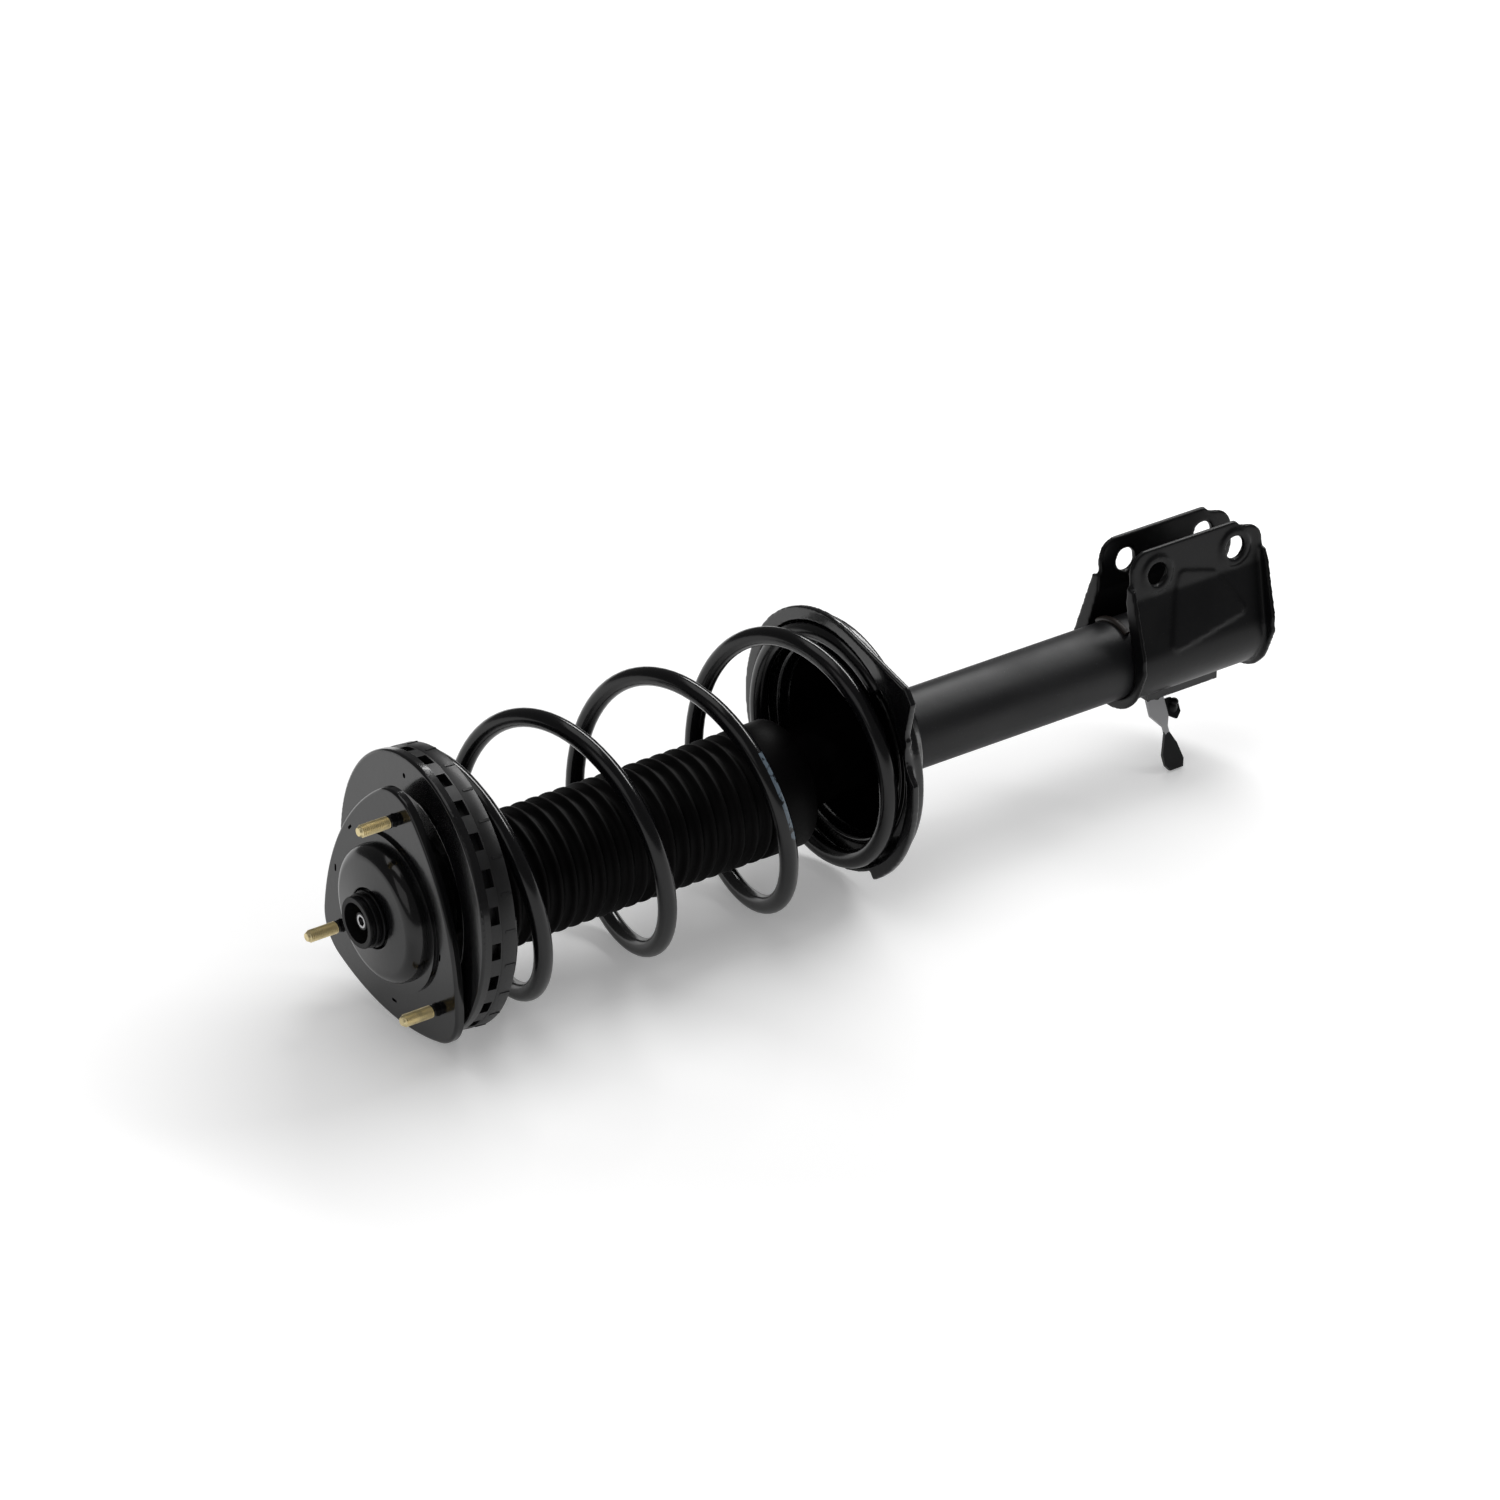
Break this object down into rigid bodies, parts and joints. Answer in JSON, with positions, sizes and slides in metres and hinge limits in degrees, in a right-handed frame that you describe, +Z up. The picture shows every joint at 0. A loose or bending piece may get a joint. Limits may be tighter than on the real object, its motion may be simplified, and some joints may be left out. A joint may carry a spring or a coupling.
{
  "type": "suspension strut assembly",
  "caption": "Car front suspension strut: top mount with studs, coil spring between seats, dust boot, damper tube and a clevis bracket for the steering knuckle.",
  "frame": {"origin": "on the rod's axis, in the front face of the top mount's plate, which meets the car's body", "axes": "+X along the rod from the top mount towards the knuckle bracket, +Z up as the strut lies on its side, +Y completes the right hand"},
  "size_m": [0.6795, 0.177, 0.1782],
  "materials": {
    "gloss_black_steel": "gloss",
    "satin_black_steel": "satin",
    "spring_black": "gloss",
    "yellow_zinc": "satin",
    "bright_steel": "satin",
    "chrome_rod": "polished",
    "black_rubber": "matte",
    "foam": "matte",
    "black_plastic": "matte",
    "grey_zinc": "satin",
    "sintered_steel": "matte",
    "bronze": "satin"
  },
  "bodies": {
    "strut": {"strut_tube": "satin_black_steel", "tube_end_cap": "satin_black_steel", "gland_nut": "satin_black_steel", "rod_seal": "black_rubber", "rod_guide": "sintered_steel", "guide_bush": "bronze", "pressure_tube": "bright_steel", "base_valve": "sintered_steel", "lower_spring_seat": "gloss_black_steel", "knuckle_bracket": "gloss_black_steel", "hose_bracket": "grey_zinc", "hose_clip": "black_plastic"},
    "rod": {"bearing_inner_race": "bright_steel", "seat_spacer": "bright_steel", "rod_washer": "bright_steel", "rod_nut": "yellow_zinc", "piston_rod": "chrome_rod", "piston": "sintered_steel", "piston_band": "black_plastic", "piston_nut": "bright_steel", "rebound_stop": "black_rubber", "bump_stop": "foam", "upper_spring_seat": "gloss_black_steel", "upper_insulator": "black_rubber", "coil_spring": "spring_black", "dust_boot": "black_rubber"},
    "mount": {"mount_plate": "gloss_black_steel", "tower_studs": "yellow_zinc", "mount_cup": "gloss_black_steel", "mount_rubber": "black_rubber", "bearing_housing": "black_plastic", "bearing_outer_race": "bright_steel", "bearing_balls": "bright_steel", "bearing_retainer": "bright_steel"}
  },
  "joints": [
    {"name": "rod_slide", "type": "slide", "parent": "strut", "child": "rod", "axis": [1, 0, 0], "range_m": [0, 0.15], "stiffness_N_per_m": 28000, "springref_m": -0.03, "deforming": ["coil_spring", "dust_boot"]},
    {"name": "mount_swivel", "type": "hinge", "parent": "rod", "child": "mount", "pos_m": [0, 0, 0], "axis": [1, 0, 0], "continuous": true}
  ]
}
